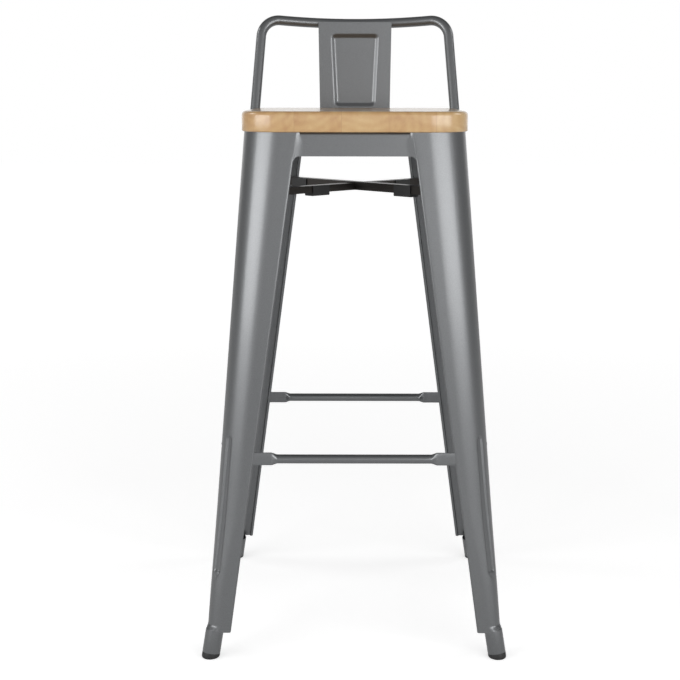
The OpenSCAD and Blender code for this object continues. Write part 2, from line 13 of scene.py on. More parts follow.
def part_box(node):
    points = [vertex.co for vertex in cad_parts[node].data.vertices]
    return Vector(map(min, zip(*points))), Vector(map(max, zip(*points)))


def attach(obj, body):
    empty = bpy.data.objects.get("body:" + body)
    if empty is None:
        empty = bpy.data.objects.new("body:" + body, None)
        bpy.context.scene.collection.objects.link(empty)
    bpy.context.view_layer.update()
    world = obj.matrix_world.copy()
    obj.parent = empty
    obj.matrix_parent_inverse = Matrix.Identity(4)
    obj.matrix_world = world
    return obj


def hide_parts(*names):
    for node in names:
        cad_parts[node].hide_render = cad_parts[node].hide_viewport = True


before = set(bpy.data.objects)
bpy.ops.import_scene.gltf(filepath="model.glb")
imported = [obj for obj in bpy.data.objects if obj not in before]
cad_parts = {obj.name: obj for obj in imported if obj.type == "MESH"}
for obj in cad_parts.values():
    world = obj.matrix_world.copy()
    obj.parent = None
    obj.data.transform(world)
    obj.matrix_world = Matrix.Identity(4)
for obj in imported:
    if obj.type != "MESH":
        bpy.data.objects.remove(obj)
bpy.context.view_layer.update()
MM = 0.001

# ------------------------------------------------------------------ sizes

pad_low_corner, pad_high_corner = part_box("seat_pad")
SEAT_TOP = pad_high_corner[2]
PAD_LOW = pad_low_corner[2]
PAD_HALF = pad_high_corner[0]
LEG_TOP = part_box("leg_rear_right")[1][2]
PAN_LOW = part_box("seat_pan")[0][2]

# Legs: widths across the pair and of one face, at the top and carried down to the floor
TOP_WIDTH = 307 * MM
FOOT_WIDTH = 421 * MM
FACE_TOP = 75.6 * MM
FACE_FOOT = 31.7 * MM
CORNER_TOP = 54 * MM
CORNER_FOOT = 28.5 * MM
LEG_SHEET = 1.5 * MM
SHEET_LOW = 37.4 * MM

# Rolled hems, which fade to a bent edge where the legs lap the pan's skirt
HEM_RADIUS = 2.5 * MM
HEM_EDGE = 0.6 * LEG_SHEET
HEM_FADE = 14 * MM

# The corner closes faster near the foot, to meet the round socket
CORNER_TIGHTEN = 12.5 * MM
TIGHTEN_FROM = 230 * MM
TIGHTEN_OVER = 170 * MM

# Groove pressed into each leg's corner: half widths at its top and low end
GROOVE_TOP = 316 * MM
GROOVE_LOW = 121 * MM
GROOVE_HALF_TOP = 6.6 * MM
GROOVE_HALF_LOW = 8.2 * MM
GROOVE_DEPTH = 2.2 * MM
GROOVE_WALL = 4.3 * MM
GROOVE_SCOOP = 4.4 * MM
GROOVE_TIP = 11 * MM
TIP_DEPTH = 0.8 * MM

# Round socket at each foot: at the height RELIEF it stands out of the faces by SOCKET_PROUD,
# and the swage above it blends the corner into its round, which it covers by SWAGE_OVER
SOCKET_RADIUS = 12.7 * MM
SOCKET_PROUD = 2 * MM
RELIEF = 40 * MM
SOCKET_SPLAY = math.radians(9)
SOCKET_LEAN = math.atan(math.tan(SOCKET_SPLAY) * math.sqrt(2))
SOCKET_RIM = 6.4 * MM
SOCKET_LIP = 0.4 * MM
SWAGE_TOP = 47.5 * MM
SWAGE = 8.9 * MM
SWAGE_BLEND = 2.6 * MM
SWAGE_OVER = 0.05 * MM

# Caps pushed into the sockets: radius, and share of the way from the socket's rim to the floor
CAP_STEM = SOCKET_RADIUS - LEG_SHEET - 0.1 * MM
CAP_PROFILE = [
    (CAP_STEM, -1.3),
    (CAP_STEM, 0.01),
    (SOCKET_RADIUS - 0.2 * MM, 0.01),
    (SOCKET_RADIUS - 0.05 * MM, 0.06),
    (SOCKET_RADIUS - 0.05 * MM, 0.62),
    (SOCKET_RADIUS - 0.25 * MM, 0.78),
    (SOCKET_RADIUS - 0.8 * MM, 0.91),
    (SOCKET_RADIUS - 1.8 * MM, 1.0),
]
ROUND_SIDES = 48

# Ground welds that blend each leg's face into the pan's skirt: their fillet under the skirt, how
# far they reach onto it and lap back over the face, and how far they stand proud of the face
SKIRT_STEP = LEG_SHEET + 0.1 * MM
PATCH_FILLET = 6.5 * MM
PATCH_REACH = 11 * MM
PATCH_TOP_REACH = 3.5 * MM
PATCH_LAP = 8 * MM
PATCH_EDGE = 1 * MM
PATCH_TAIL = 1.5 * MM
PATCH_PROUD = 0.04 * MM
PATCH_THICK = 1.2 * MM

# Hoop: its plane leans back, and its tubes end pressed flat on the rear legs' side faces.
# FOOT_DROP and TONGUE_WELD are how far below the seat the tubes end and their weld beads begin.
# A crown is an exponent: the lower it is, the squarer the pressed section
HOOP_RADIUS = 7.5 * MM
BACK_RISE = 143.35 * MM
HOOP_INSET = 37.5 * MM
HOOP_LEAN = math.radians(15)
HOOP_BEND = 30 * MM
RAIL_TURN = math.radians(16.5)
PRESS_THICK = 4 * MM
PRESS_WIDTH = 21 * MM
PRESS_BLEND = 24 * MM
PRESS_CROWN = 0.3
FOOT_DROP = 68 * MM
HOOP_GAP = 0.3 * MM
TONGUE_ROUND = 6 * MM
TONGUE_NARROW = 5 * MM
TONGUE_WELD = 33 * MM
HOOP_SIDES = 40

# Splat and the panel pressed into it
SPLAT_HIGH = SEAT_TOP + BACK_RISE - 12 * MM
SPLAT_TOP = 114 * MM
SPLAT_LOW = 108 * MM
SPLAT_SHEET = 1.5 * MM
SPLAT_FOOT = 14 * MM
SPLAT_CLEAR = 0.4 * MM
PANEL_TOP = 77 * MM
PANEL_LOW = 66 * MM
PANEL_DROP = 17 * MM
PANEL_END = 1 * MM
PANEL_CORNER = 9 * MM
PANEL_BORDER = 7.5 * MM
PANEL_DEPTH = 4 * MM

# Pad
PAD_CORNER = 55 * MM
PAD_TOP_ROUND = 6 * MM
PAD_LOW_ROUND = 2.5 * MM
NOTCH_GAP = 1 * MM
NOTCH_ROUND = 5 * MM

# Staves of the pad: one joint lies where the shift puts it
STAVE_WIDTH = 64 * MM
STAVE_SHIFT = 0.281
SEAM_SHARE = 0.004

# Footrests
REST_HEIGHT = 285 * MM
REST_RADIUS = 6.35 * MM
TAB_HEIGHT = 18 * MM
TAB_THICK = 3.4 * MM
TAB_CROWN = 0.35
TAB_LENGTH = 24 * MM
TAB_BLEND = 9 * MM
TAB_INSET = 0.6 * MM
TAB_LAP = 0.8 * MM
REST_SIDES = 36

# Weld beads: their sides, the distance between their rings, the pitch of their ripples,
# and where the ones under the rail, along the splat's foot and at the footrests end
BEAD_SIDES = 10
BEAD_STEP = 0.9 * MM
BEAD_PITCH = 2.6 * MM
RAIL_WELD = (34 * MM, 52 * MM)
FOOT_WELD = (-46 * MM, 46 * MM)
REST_WELD = (-8.5 * MM, 8.5 * MM)

# Camera, fitted to the photograph's perspective: lens in millimetres, angles in degrees
CAMERA_PLACE = (0, -1.9616, 0.7932)
CAMERA_LENS = 70.15
CAMERA_PITCH = -10.84
CAMERA_ROLL = 0.09
CAMERA_SHIFT = -0.0213

# Lamps: azimuth in degrees, heights of their lower and upper edge, width, and power in watts
LAMP_DISTANCE = 2.2
LAMPS = {
    "softbox_left": (-54, 0.5, 1.22, 1.85, 19),
    "softbox_right": (38, 0.5, 1.22, 2.2, 20.5),
    "side_left": (-100, 1.7, 2.5, 0.8, 9),
    "side_right": (100, 1.7, 2.5, 0.8, 9),
}

# Floor: half its size, and the share of its glow that glossy surfaces reflect
FLOOR_REACH = 12
FLOOR_REFLECTED = 0.3


def mix(a, b, t):
    """Value between a and b at the share t."""
    return a + (b - a) * t


def smooth(t):
    """Share t, held between 0 and 1, with eased ends."""
    t = min(1.0, max(0.0, t))
    return t * t * (3 - 2 * t)


def half_width(z):
    """Half of the width across the legs' outer faces at height z."""
    return mix(FOOT_WIDTH, TOP_WIDTH, z / LEG_TOP) / 2


def edge_at(z):
    """Distance from the middle plane to the rolled edge of a leg face."""
    return half_width(z) - mix(FACE_FOOT, FACE_TOP, z / LEG_TOP)


def corner_at(z):
    """Radius of the leg's outer corner."""
    tighten = CORNER_TIGHTEN * smooth((TIGHTEN_FROM - z) / TIGHTEN_OVER)
    return mix(CORNER_FOOT, CORNER_TOP, z / LEG_TOP) - tighten


def soft_ramp(t, rounding=0.25):
    """Straight slope from 0 to 1 with rounded ends."""
    t = min(1.0, max(0.0, t))
    steep = 1 / (1 - rounding)
    if t < rounding:
        return steep * t * t / (2 * rounding)
    if t > 1 - rounding:
        return 1 - steep * (1 - t) ** 2 / (2 * rounding)
    return steep * (t - rounding / 2)


FACE_SLOPE = (FOOT_WIDTH - TOP_WIDTH) / 2 / LEG_TOP
FACE_TILT = math.atan(FACE_SLOPE)
EDGE_SLOPE = (edge_at(0) - edge_at(LEG_TOP)) / LEG_TOP

# ------------------------------------------------------------------ mesh helpers


def make_object(name, points, faces, material, sharp):
    """A piece from points and faces, shaded smooth but for edges sharper than that angle."""
    mesh = bpy.data.meshes.new(name)
    mesh.from_pydata([tuple(p) for p in points], [], faces)
    mesh.validate()
    shell = bmesh.new()
    shell.from_mesh(mesh)
    bmesh.ops.recalc_face_normals(shell, faces=shell.faces)
    shell.to_mesh(mesh)
    shell.free()
    piece = bpy.data.objects.new(name, mesh)
    bpy.context.scene.collection.objects.link(piece)
    mesh.materials.append(material)
    bpy.context.view_layer.objects.active = piece
    piece.select_set(True)
    bpy.ops.object.shade_smooth()
    piece.select_set(False)
    mesh.set_sharp_from_angle(angle=math.radians(sharp))
    return piece


def skin(rings, caps, offset):
    """Faces between closed rings that all have the same number of points."""
    count = len(rings[0])
    last = len(rings) - 1
    faces = []
    for k in range(last):
        for i in range(count):
            j = (i + 1) % count
            a = offset + k * count
            faces.append((a + i, a + j, a + count + j, a + count + i))
    if caps:
        faces.append(tuple(offset + i for i in reversed(range(count))))
        faces.append(tuple(offset + last * count + i for i in range(count)))
    return faces


class Shell:
    """Points and faces of one piece, put together from several skins."""

    def __init__(self):
        self.points = []
        self.faces = []

    def add(self, rings, caps=True):
        self.faces += skin(rings, caps, len(self.points))
        for ring in rings:
            self.points += ring


def piece_from(
    name, shell, material, replaces=(), place=Matrix(), sharp=35
):
    """The shell's piece, set by the matrix place, which rides on the stool's one body."""
    points = [place @ Vector(p) for p in shell.points]
    piece = make_object(name, points, shell.faces, material, sharp)
    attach(piece, "root")
    if replaces:
        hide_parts(*replaces)
    return piece


def spaced(low, high, step):
    """Even places from low to high, about a step apart."""
    count = max(1, round((high - low) / step))
    return [low + (high - low) * i / count for i in range(count + 1)]


# ------------------------------------------------------------------ materials


def new_material(name):
    """A material with its node tree and its shader."""
    material = bpy.data.materials.new(name)
    material.use_nodes = True
    tree = material.node_tree
    return material, tree, tree.nodes["Principled BSDF"]


def add_node(tree, kind, **settings):
    """A new node with its properties set."""
    node = tree.nodes.new(kind)
    for key, value in settings.items():
        setattr(node, key, value)
    return node


def calc(tree, operation, *values):
    """Result of a Math node whose inputs are numbers or other nodes' outputs."""
    node = add_node(tree, "ShaderNodeMath", operation=operation)
    for socket, value in zip(node.inputs, values):
        if isinstance(value, (int, float)):
            socket.default_value = value
        else:
            tree.links.new(value, socket)
    return node.outputs[0]


def split_vector(tree, vector):
    """Outputs X, Y and Z of a vector."""
    node = add_node(tree, "ShaderNodeSeparateXYZ")
    tree.links.new(vector, node.inputs[0])
    return node.outputs


def join_vector(tree, *parts):
    """Vector of the outputs for X, Y and Z."""
    node = add_node(tree, "ShaderNodeCombineXYZ")
    for part, socket in zip(parts, node.inputs):
        tree.links.new(part, socket)
    return node.outputs[0]


def mixed(tree, factor, first, second, blend="MIX"):
    """Colour between two colours or nodes' outputs, by a factor that is a number or an output."""
    node = add_node(tree, "ShaderNodeMix", data_type="RGBA", blend_type=blend)
    for socket, value in zip((node.inputs["Factor"], *node.inputs[6:8]), (factor, first, second)):
        if isinstance(value, (int, float, tuple)):
            socket.default_value = value
        else:
            tree.links.new(value, socket)
    return node.outputs[2]


def greys(*stops):
    """Stops of a grey ramp from pairs of place and brightness."""
    return [(place, (value,) * 3) for place, value in stops]


def coordinates(tree, scale=(1, 1, 1)):
    """Coordinates on the object, in metres times the scale."""
    place = add_node(tree, "ShaderNodeTexCoord")
    mapping = add_node(tree, "ShaderNodeMapping")
    mapping.inputs["Scale"].default_value = scale
    tree.links.new(place.outputs["Object"], mapping.inputs["Vector"])
    return mapping.outputs["Vector"]


def noise(tree, vector, scale, detail, roughness=0.5, distortion=0.0):
    """Noise from 0 to 1."""
    node = add_node(tree, "ShaderNodeTexNoise")
    node.inputs["Scale"].default_value = scale
    node.inputs["Detail"].default_value = detail
    node.inputs["Roughness"].default_value = roughness
    node.inputs["Distortion"].default_value = distortion
    tree.links.new(vector, node.inputs["Vector"])
    return node.outputs["Fac"]


def ramp(tree, source, stops):
    """Colour ramp through stops of place and colour."""
    node = add_node(tree, "ShaderNodeValToRGB")
    elements = node.color_ramp.elements
    while len(elements) < len(stops):
        elements.new(0.5)
    for element, (place, colour) in zip(elements, stops):
        element.position = place
        element.color = (*colour, 1)
    tree.links.new(source, node.inputs["Fac"])
    return node.outputs["Color"]


def bump(tree, shader, height, strength, distance):
    """Gives the shader a fine relief."""
    node = add_node(tree, "ShaderNodeBump")
    node.inputs["Strength"].default_value = strength
    node.inputs["Distance"].default_value = distance
    tree.links.new(height, node.inputs["Height"])
    tree.links.new(node.outputs["Normal"], shader.inputs["Normal"])


def painted_steel(name, dark, light):
    """Metallic gunmetal paint: fine flakes, a faint orange peel and a clear coat."""
    material, tree, shader = new_material(name)
    fine = noise(tree, coordinates(tree), 1400, 2)
    colour = ramp(tree, fine, [(0.35, dark), (0.65, light)])
    tree.links.new(colour, shader.inputs["Base Color"])
    shader.inputs["Metallic"].default_value = 0.8
    shader.inputs["Roughness"].default_value = 0.36
    shader.inputs["Coat Weight"].default_value = 0.25
    shader.inputs["Coat Roughness"].default_value = 0.12
    peel = noise(tree, coordinates(tree), 260, 2)
    bump(tree, shader, peel, 0.12, 0.0004)
    return material


def moulded_black(name, grey, roughness):
    """Matt black plastic or rubber with the fine grain of its mould."""
    material, tree, shader = new_material(name)
    grain = noise(tree, coordinates(tree), 900, 4)
    colour = ramp(tree, grain, greys((0.3, grey * 0.8), (0.7, grey * 1.3)))
    tree.links.new(colour, shader.inputs["Base Color"])
    shader.inputs["Roughness"].default_value = roughness
    bump(tree, shader, grain, 0.25, 0.0003)
    return material


def bare_steel():
    """Bright screws with grain along their shanks."""
    material, tree, shader = new_material("bare_steel")
    grain = noise(tree, coordinates(tree, (1, 1, 6)), 500, 3)
    colour = ramp(tree, grain, [(0.3, (0.5, 0.5, 0.51)), (0.7, (0.66, 0.66, 0.67))])
    tree.links.new(colour, shader.inputs["Base Color"])
    shader.inputs["Metallic"].default_value = 1.0
    shader.inputs["Roughness"].default_value = 0.3
    return material


def timber():
    """Lacquered staves that run front to back: rings on their ends, long fibres on top."""
    material, tree, shader = new_material("timber")
    links = tree.links
    x, y, z = split_vector(tree, coordinates(tree))
    along = calc(tree, "MULTIPLY_ADD", x, 1 / STAVE_WIDTH, STAVE_SHIFT)
    within = calc(tree, "FRACT", along)
    chance = add_node(tree, "ShaderNodeTexWhiteNoise", noise_dimensions="1D")
    links.new(calc(tree, "FLOOR", along), chance.inputs["W"])
    tint, drop, shift = split_vector(tree, chance.outputs["Color"])

    # growth rings about a heart, up to 1.2 stave widths below or above the stave's top
    height = calc(tree, "MULTIPLY_ADD", z, 1 / STAVE_WIDTH,
                  calc(tree, "MULTIPLY_ADD", drop, 2.4, -SEAT_TOP / STAVE_WIDTH - 1.2))
    heart = join_vector(
        tree, calc(tree, "SUBTRACT", within, tint), calc(tree, "MULTIPLY", y, 1.3), height)
    rings = add_node(tree, "ShaderNodeTexWave", wave_type="RINGS", rings_direction="Y")
    rings.inputs["Scale"].default_value = 1.7
    rings.inputs["Distortion"].default_value = 3.0
    rings.inputs["Detail"].default_value = 3.0
    rings.inputs["Detail Scale"].default_value = 1.4
    links.new(heart, rings.inputs["Vector"])

    # fibres that run along the staves, different in each
    stretched = join_vector(
        tree, calc(tree, "MULTIPLY_ADD", shift, 3.0, x), calc(tree, "MULTIPLY", y, 0.045), z)
    fibres = noise(tree, stretched, 420, 5, 0.6, 0.4)
    broad = noise(tree, stretched, 38, 3, 0.55, 0.8)

    blend = calc(tree, "ADD", calc(tree, "MULTIPLY", rings.outputs["Fac"], 0.09),
                 calc(tree, "MULTIPLY", fibres, 0.16))
    blend = calc(tree, "ADD", blend, calc(tree, "MULTIPLY", broad, 0.5))
    blend = calc(tree, "MULTIPLY_ADD", tint, 0.12, blend)
    colour = ramp(tree, blend, [
        (0.22, (0.450, 0.250, 0.105)), (0.38, (0.520, 0.318, 0.140)),
        (0.52, (0.570, 0.375, 0.175)), (0.70, (0.640, 0.450, 0.232))])

    # glue lines, darker than the wood
    from_middle = calc(tree, "ABSOLUTE", calc(tree, "SUBTRACT", within, 0.5))
    wood = calc(tree, "LESS_THAN", from_middle, 0.5 - SEAM_SHARE)
    lined = mixed(tree, wood, (0.44, 0.25, 0.11, 1), colour)
    links.new(lined, shader.inputs["Base Color"])
    shader.inputs["Roughness"].default_value = 0.42
    shader.inputs["Coat Weight"].default_value = 0.9
    shader.inputs["Coat Roughness"].default_value = 0.16
    bump(tree, shader, fibres, 0.08, 0.0003)
    return material


STEEL = painted_steel("painted_steel", (0.150, 0.155, 0.160), (0.185, 0.190, 0.195))
# The same gunmetal paint made darker for the brace bars: painted shade for their place under the
# pan
BRACE_STEEL_PAINTED_SHADE = painted_steel("brace_steel_painted_shade", (0.040, 0.036, 0.033), (0.058, 0.052, 0.047))
PLASTIC = moulded_black("black_plastic", 0.022, 0.5)
RUBBER = moulded_black("black_rubber", 0.010, 0.5)
SCREW_STEEL = bare_steel()
TIMBER = timber()


def dress(node, material, bevel=0.0):
    """A carried-over CAD node gets its material, and softened edges where bevel is set."""
    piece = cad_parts[node]
    piece.data.materials.clear()
    piece.data.materials.append(material)
    if bevel:
        modifier = piece.modifiers.new("soft_edges", "BEVEL")
        modifier.width = bevel
        modifier.segments = 2
        modifier.limit_method = "ANGLE"
        modifier.angle_limit = math.radians(40)


# ------------------------------------------------------------------ weld beads


def bead(path, lean, radius):
    """Rings of a weld bead along a path: a round cord with ripples, flattened along lean."""
    rings = []
    length = 0.0
    for i, p in enumerate(path):
        way = (path[min(i + 1, len(path) - 1)] - path[max(i - 1, 0)]).normalized()
        length += (p - path[max(i - 1, 0)]).length
        side = way.cross(lean).normalized()
        ends = min(1.0, 0.35 + 2.0 * min(i, len(path) - 1 - i) / 3)
        size = radius * ends * (0.9 + 0.14 * math.sin(2 * math.pi * length / BEAD_PITCH))
        rings.append([
            p + size * (math.cos(a) * side + 0.7 * math.sin(a) * lean)
            for a in (2 * math.pi * k / BEAD_SIDES for k in range(BEAD_SIDES))
        ])
    return rings


def weld(name, lines, lean, radius, place=Matrix()):
    """A piece of weld beads, one along each line of corners."""
    shell = Shell()
    for corners in lines:
        points = [corners[0]]
        for a, b in zip(corners, corners[1:]):
            count = max(1, round((b - a).length / BEAD_STEP))
            points += [a.lerp(b, i / count) for i in range(1, count + 1)]
        shell.add(bead(points, lean, radius))
    return piece_from(name, shell, STEEL, place=place, sharp=60)


# ------------------------------------------------------------------ corners

# Matrix that mirrors a shape of the rear right corner to each corner
CORNERS = {
    "rear_right": Matrix.Diagonal((1, 1, 1, 1)),
    "rear_left": Matrix.Diagonal((-1, 1, 1, 1)),
    "front_right": Matrix.Diagonal((1, -1, 1, 1)),
    "front_left": Matrix.Diagonal((-1, -1, 1, 1)),
}

# ------------------------------------------------------------------ legs


def socket_at(z):
    """Distance of the socket's axis from each middle plane at height z."""
    at_relief = half_width(RELIEF) + SOCKET_PROUD - SOCKET_RADIUS
    return at_relief + (RELIEF - z) * math.tan(SOCKET_SPLAY)


def groove_half(z):
    """Half width of the groove at height z, to the outside of its walls."""
    t = (z - GROOVE_LOW) / (GROOVE_TOP - GROOVE_LOW)
    return mix(GROOVE_HALF_LOW, GROOVE_HALF_TOP, min(1.0, max(0.0, t)))


def groove_depth(across, z):
    """Depth of the pressed groove at a distance across the corner's outer line."""
    half = groove_half(z)
    centre_top = GROOVE_TOP - half
    if z > centre_top:
        room = half - math.hypot(across, z - centre_top)
    elif z < GROOVE_LOW:
        room = half * (1 - (GROOVE_LOW - z) / GROOVE_TIP) - abs(across)
    else:
        room = half - abs(across)
    full = mix(TIP_DEPTH, GROOVE_DEPTH, smooth((z - GROOVE_LOW) / GROOVE_SCOOP))
    return full * soft_ramp(room / GROOVE_WALL)


def swell(across, along, z):
    """Moves a point of the corner out to the socket's round, near the foot."""
    if abs(across) >= SOCKET_RADIUS:
        return along
    reach = math.sqrt(SOCKET_RADIUS ** 2 - across ** 2)
    round_out = socket_at(z) * math.sqrt(2) + reach + SWAGE_OVER
    rise = round_out - along
    share = smooth((SWAGE_TOP - z) / SWAGE)
    return along + share * (rise + math.hypot(rise, SWAGE_BLEND * (1.2 - share))) / 2


# Columns of points across half of the groove, as shares of its half width
GROOVE_COLUMNS = [0, 0.22, 0.38, 0.46, 0.54, 0.62, 0.7, 0.78, 0.86, 0.94, 1.02, 1.2]


def corner_angles(z):
    """Angles from the diagonal of the columns on half of a corner, from the face inward."""
    near = [math.asin(a * groove_half(z) / corner_at(z)) for a in GROOVE_COLUMNS]
    far = [mix(near[-1], math.pi / 4, i / 8) for i in range(1, 9)]
    return list(reversed(near + far))


def leg_half(z, inner):
    """Points of the +Y half of a leg's section, from its rolled edge to the corner's middle."""
    wide = half_width(z)
    radius = corner_at(z)
    centre = wide - radius
    hem = mix(HEM_RADIUS, HEM_EDGE, smooth((z - PAN_LOW + HEM_FADE / 2) / HEM_FADE))
    middle = edge_at(z) + hem
    turn = math.asin(1 - LEG_SHEET / hem)
    depth = LEG_SHEET if inner else 0.0
    start = middle + hem * math.cos(turn) if inner else middle
    points = []
    if not inner:
        for i in range(15):
            a = mix(2 * math.pi + turn, math.pi / 2, i / 15)
            points.append((middle + hem * math.cos(a), wide - hem + hem * math.sin(a)))
    for i in range(6):
        points.append((mix(start, centre, i / 6), wide - depth))
    for angle in corner_angles(z):
        sink = groove_depth(radius * math.sin(angle), z) + depth
        x = centre + (radius - sink) * math.sin(math.pi / 4 - angle)
        y = centre + (radius - sink) * math.cos(math.pi / 4 - angle)
        side = (x - y) / math.sqrt(2)
        along = (x + y) / math.sqrt(2)
        if z < SWAGE_TOP:
            along = swell(side, along + depth, z) - depth
        points.append(((along + side) / math.sqrt(2), (along - side) / math.sqrt(2)))
    return points


def leg_ring(z):
    """Closed section of a leg's sheet at height z."""
    outer = leg_half(z, False)
    inner = leg_half(z, True)
    outline = outer + [(y, x) for x, y in reversed(outer[:-1])]
    back = inner + [(y, x) for x, y in reversed(inner[:-1])]
    return [(x, y, z) for x, y in outline + list(reversed(back))]


def leg_heights():
    """Heights of the leg's sections, close together over the swage, the groove and the hems."""
    rows = spaced(SHEET_LOW, SWAGE_TOP + 1 * MM, 0.9 * MM)
    rows += spaced(SWAGE_TOP + 14 * MM, GROOVE_LOW - GROOVE_TIP - 2 * MM, 14 * MM)
    rows += spaced(GROOVE_LOW - GROOVE_TIP, GROOVE_LOW - 1 * MM, 1.2 * MM)
    rows += spaced(GROOVE_LOW, GROOVE_LOW + GROOVE_SCOOP + 0.4 * MM, 0.4 * MM)
    rows += spaced(GROOVE_LOW + GROOVE_SCOOP + 8 * MM, GROOVE_TOP - 18 * MM, 16 * MM)
    rows += spaced(GROOVE_TOP - 9 * MM, GROOVE_TOP + 3 * MM, 0.6 * MM)
    rows += spaced(GROOVE_TOP + 14 * MM, PAN_LOW - 20 * MM, 18 * MM)
    rows += spaced(PAN_LOW - 10 * MM, LEG_TOP, 3 * MM)
    return rows


def socket_frame():
    """Matrix of the socket's axis, with z = 0 at its lower end."""
    at = socket_at(SOCKET_RIM)
    return Matrix.Translation((at, at, SOCKET_RIM)) @ Matrix.Rotation(SOCKET_LEAN, 4, (1, -1, 0))


def socket_ring(radius, height):
    """Circle about the socket's axis, at a height along it."""
    place = socket_frame()
    turns = (2 * math.pi * k / ROUND_SIDES for k in range(ROUND_SIDES))
    return [place @ Vector((radius * math.cos(a), radius * math.sin(a), height)) for a in turns]


def leg_shell():
    """The folded sheet and the socket at its foot."""
    shell = Shell()
    shell.add([leg_ring(z) for z in leg_heights()])
    length = (SHEET_LOW + 1 * MM - SOCKET_RIM) / math.cos(SOCKET_LEAN)
    outer = SOCKET_RADIUS
    inner = SOCKET_RADIUS - LEG_SHEET
    profile = [
        (inner, length),
        (outer, length),
        (outer, SOCKET_LIP),
        (outer - 0.3 * SOCKET_LIP, 0.3 * SOCKET_LIP),
        (outer - SOCKET_LIP, 0),
        (inner, 0),
        (inner, length),
    ]
    shell.add([socket_ring(radius, height) for radius, height in profile], caps=False)
    return shell


def cap_shell():
    """A cap: its stem in the socket, and its head down to the floor."""
    axis = (socket_frame().to_3x3() @ Vector((0, 0, 1))).normalized()
    shell = Shell()
    shell.add([
        [rim - axis * (rim.z / axis.z) * share for rim in socket_ring(radius, 0)]
        for radius, share in CAP_PROFILE
    ])
    return shell


def patch_shell():
    """A ground weld from the leg's face onto the skirt, with a fillet under the skirt."""
    high = LEG_TOP - 0.2 * MM
    rings = []
    for i in range(21):
        front = []
        for j in range(17):
            down = j / 16
            reach = mix(PATCH_TOP_REACH, PATCH_REACH, smooth(down / 0.45))
            inward = mix(-PATCH_LAP, reach, i / 20)
            short = PATCH_FILLET - min(PATCH_FILLET, max(0.0, inward))
            low = PAN_LOW - PATCH_FILLET + math.sqrt(PATCH_FILLET ** 2 - short ** 2)
            if inward < 0:
                low -= PATCH_TAIL * smooth(-inward / PATCH_LAP)
            z = mix(high, low, down)
            start = mix(PATCH_EDGE, PATCH_LAP - PATCH_EDGE, smooth(down / 0.6))
            share = smooth((inward + start) / (reach + start))
            sink = (SKIRT_STEP + PATCH_PROUD) * share - PATCH_PROUD
            front.append((edge_at(z) - inward, half_width(z) - sink, z))
        back = [(x, y - PATCH_THICK, z) for x, y, z in reversed(front)]
        rings.append(front + back)
    shell = Shell()
    shell.add(rings)
    return shell


leg_template = leg_shell()
for corner, mirror in CORNERS.items():
    piece_from("leg_sheet_" + corner, leg_template, STEEL, replaces=["leg_" + corner],
               place=mirror, sharp=50)

cap_template = cap_shell()
for corner, mirror in CORNERS.items():
    piece_from("rubber_cap_" + corner, cap_template, RUBBER, replaces=["foot_cap_" + corner],
               place=mirror, sharp=40)

SWAP_X_Y = Matrix(((0, 1, 0, 0), (1, 0, 0, 0), (0, 0, 1, 0), (0, 0, 0, 1)))
patch_template = patch_shell()
for corner, mirror in CORNERS.items():
    for face, turn in (("end", Matrix()), ("side", SWAP_X_Y)):
        piece_from("weld_" + face + "_" + corner, patch_template, STEEL,
                   place=mirror @ turn, sharp=60)

# ------------------------------------------------------------------ hoop back

hoop_y = half_width(SEAT_TOP) - HOOP_INSET
tube_lean = math.atan(FACE_SLOPE * math.cos(HOOP_LEAN))
tube_x = half_width(SEAT_TOP) + (PRESS_THICK / 2 + HOOP_GAP) / math.cos(FACE_TILT)
rail_z = (BACK_RISE - HOOP_RADIUS) / math.cos(HOOP_LEAN)
knee = Vector((tube_x - rail_z * math.tan(tube_lean), 0, rail_z))
rail_way = Vector((math.cos(RAIL_TURN), -math.sin(RAIL_TURN), 0))
tube_way = Vector((math.sin(tube_lean), 0, -math.cos(tube_lean)))
tube_side = Vector((math.cos(tube_lean), 0, math.sin(tube_lean)))
bend_angle = math.acos(rail_way.dot(tube_way))
bend_reach = HOOP_BEND * math.tan(bend_angle / 2)
rail_radius = (knee.x - bend_reach * math.cos(RAIL_TURN)) / math.sin(RAIL_TURN)
rail_back = bend_reach * math.sin(RAIL_TURN) + rail_radius * (1 - math.cos(RAIL_TURN))
tube_start = knee + bend_reach * tube_way
tube_length = (tube_start.z + FOOT_DROP / math.cos(HOOP_LEAN)) / math.cos(tube_lean)
HOOP_FRAME = Matrix.Translation((0, hoop_y, SEAT_TOP)) @ Matrix.Rotation(-HOOP_LEAN, 4, "X")


def power(value, exponent):
    """Power that keeps the value's sign."""
    return math.copysign(abs(value) ** exponent, value)


def hoop_ring(centre, u, w, phase=0.0, flat=0.0, narrow=0.0):
    """Ring of the hoop across u and w: flat is the share by which it is pressed flat."""
    ring = []
    for i in range(HOOP_SIDES):
        q = phase + 2 * math.pi * i / HOOP_SIDES
        pressed = PRESS_THICK / 2 * power(math.cos(q), PRESS_CROWN)
        a = mix(HOOP_RADIUS * math.cos(q), pressed, flat)
        b = mix(HOOP_RADIUS * math.sin(q), (PRESS_WIDTH / 2 - narrow) * math.sin(q), flat)
        ring.append(centre + a * u + b * w)
    return ring


